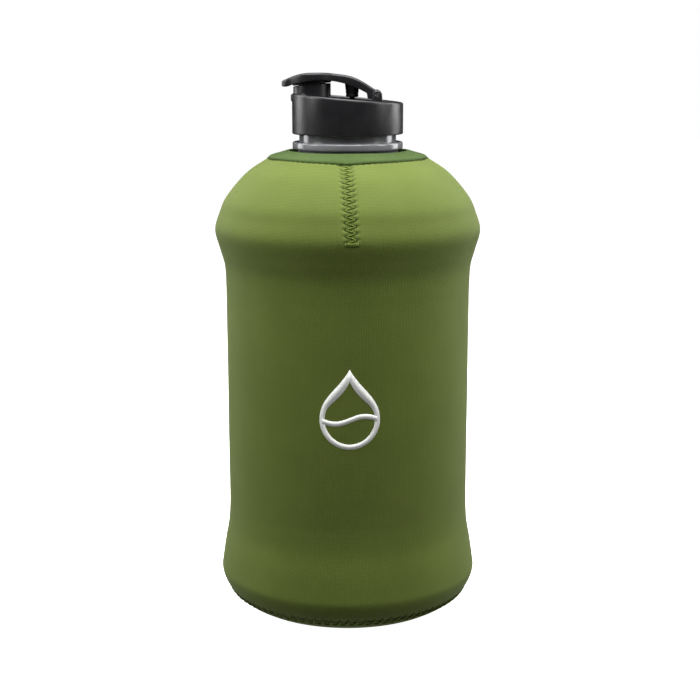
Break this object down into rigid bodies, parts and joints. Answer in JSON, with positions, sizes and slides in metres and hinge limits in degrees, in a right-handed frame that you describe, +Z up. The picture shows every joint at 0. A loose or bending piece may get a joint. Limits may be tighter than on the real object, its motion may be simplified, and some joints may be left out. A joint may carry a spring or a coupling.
{
  "type": "large water jug",
  "caption": "Large plastic water jug with a moulded back grip, a neoprene sleeve, and a screw cap with a drinking spout under an arched flip lid.",
  "frame": {"origin": "centre of the sleeve's base, on the surface the jug stands on", "axes": "+Z up along the bottle's axis; -X towards the drinking spout and +X towards the lid's hinge; -Y is the front with the dart and the print; +Y is the back with the moulded grip"},
  "size_m": [0.1294, 0.1307, 0.2646],
  "materials": {
    "smoke_plastic": "clear smoke-grey copolyester, glossy",
    "neoprene": "knitted nylon face on foam, matt, fine jersey texture",
    "binding_tape": "folded elastic tape, lighter green",
    "thread": "polyester thread in the sleeve's green",
    "print_film": "thin white heat-transfer film",
    "cap_plastic": "black polypropylene, satin",
    "silicone": "black silicone, matt",
    "steel": "plain steel pin"
  },
  "bodies": {
    "jug": {"bottle": "smoke_plastic", "grip_handle": "cap_plastic", "sleeve_wall": "neoprene", "sleeve_base": "neoprene", "neck_binding": "binding_tape", "handle_slot_binding": "binding_tape", "dart_stitching": "thread", "base_seam_stitching": "thread", "back_seam_stitching_upper": "thread", "back_seam_stitching_lower": "thread", "front_print": "print_film"},
    "gasket": {"cap_gasket": "silicone"},
    "cap": {"screw_cap": "cap_plastic", "hinge_pin": "steel"},
    "lid": {"flip_lid": "cap_plastic", "spout_plug": "silicone", "vent_plug": "silicone"}
  },
  "joints": [
    {"name": "cap_lift", "type": "slide", "parent": "jug", "child": "gasket", "axis": [0, 0, 1], "range_m": [0, 0.005]},
    {"name": "cap_turn", "type": "hinge", "parent": "gasket", "child": "cap", "pos_m": [0, 0, 0.24], "axis": [0, 0, 1], "range_deg": [0, 360]},
    {"name": "lid_hinge", "type": "hinge", "parent": "cap", "child": "lid", "pos_m": [0.0142, 0, 0.254], "axis": [0, 1, 0], "range_deg": [0, 140]}
  ],
  "couplings": [
    {"joint": "cap_lift", "follows": "cap_turn", "m_per_rad": 0.00079577}
  ]
}
